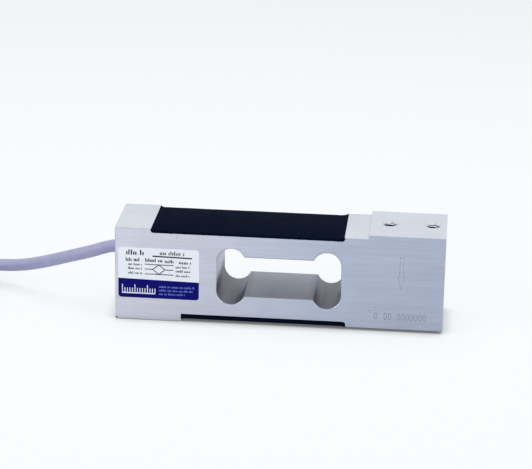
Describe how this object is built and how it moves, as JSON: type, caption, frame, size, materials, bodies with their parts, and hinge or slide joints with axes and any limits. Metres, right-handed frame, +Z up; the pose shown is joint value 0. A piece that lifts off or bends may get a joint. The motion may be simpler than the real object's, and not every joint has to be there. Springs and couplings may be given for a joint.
{
  "type": "single point load cell",
  "caption": "Aluminium single point load cell beam with a binocular opening, sealed gauge recesses, tapped mounting pads and a coiled signal cable.",
  "frame": {"origin": "under the middle of the beam, on the plane of the fixed pad's face", "axes": "+X along the beam from the cable end to the load end, +Z up out of the load pad, the labelled side faces -Y"},
  "size_m": [0.2509, 0.0581, 0.04],
  "materials": {
    "beam_aluminium": "clear anodised over fine milling and brushing",
    "gauge_foil": "amber polyimide backing with constantan foil",
    "board_laminate": "green solder mask on glass laminate",
    "resistor_ceramic": "coated chip",
    "copper_wire": "enamelled copper",
    "seal_rubber": "cast silicone",
    "potting_rubber": "black silicone, self-levelled, satin",
    "label_film": "printed polyester film, white over navy blue",
    "cable_jacket": "soft grey extruded PVC",
    "tie_nylon": "moulded nylon",
    "sleeve_polyolefin": "shrunk polyolefin",
    "tinned_copper": "tinned, twisted strands",
    "red_insulation": "extruded PVC",
    "black_insulation": "extruded PVC",
    "green_insulation": "extruded PVC",
    "white_insulation": "extruded PVC"
  },
  "bodies": {
    "root": {"beam": "beam_aluminium", "gauge_top_left": "gauge_foil", "gauge_top_right": "gauge_foil", "gauge_bottom_left": "gauge_foil", "gauge_bottom_right": "gauge_foil", "terminal_board": "board_laminate", "balance_resistor": "resistor_ceramic", "span_resistor": "gauge_foil", "top_gauge_wires": "copper_wire", "bottom_gauge_wires": "copper_wire", "cable_seal": "seal_rubber", "inner_jacket": "cable_jacket", "core_shield": "tinned_copper", "core_red": "red_insulation", "core_black": "black_insulation", "core_green": "green_insulation", "core_white": "white_insulation", "top_potting": "potting_rubber", "bottom_potting": "potting_rubber", "label": "label_film", "cable": "cable_jacket", "cable_coil": "cable_jacket", "coil_tie": "tie_nylon", "end_sleeve": "sleeve_polyolefin", "lead_shield": "tinned_copper", "lead_red": "red_insulation", "lead_black": "black_insulation", "lead_green": "green_insulation", "lead_white": "white_insulation", "lead_tips": "tinned_copper"}
  },
  "joints": []
}
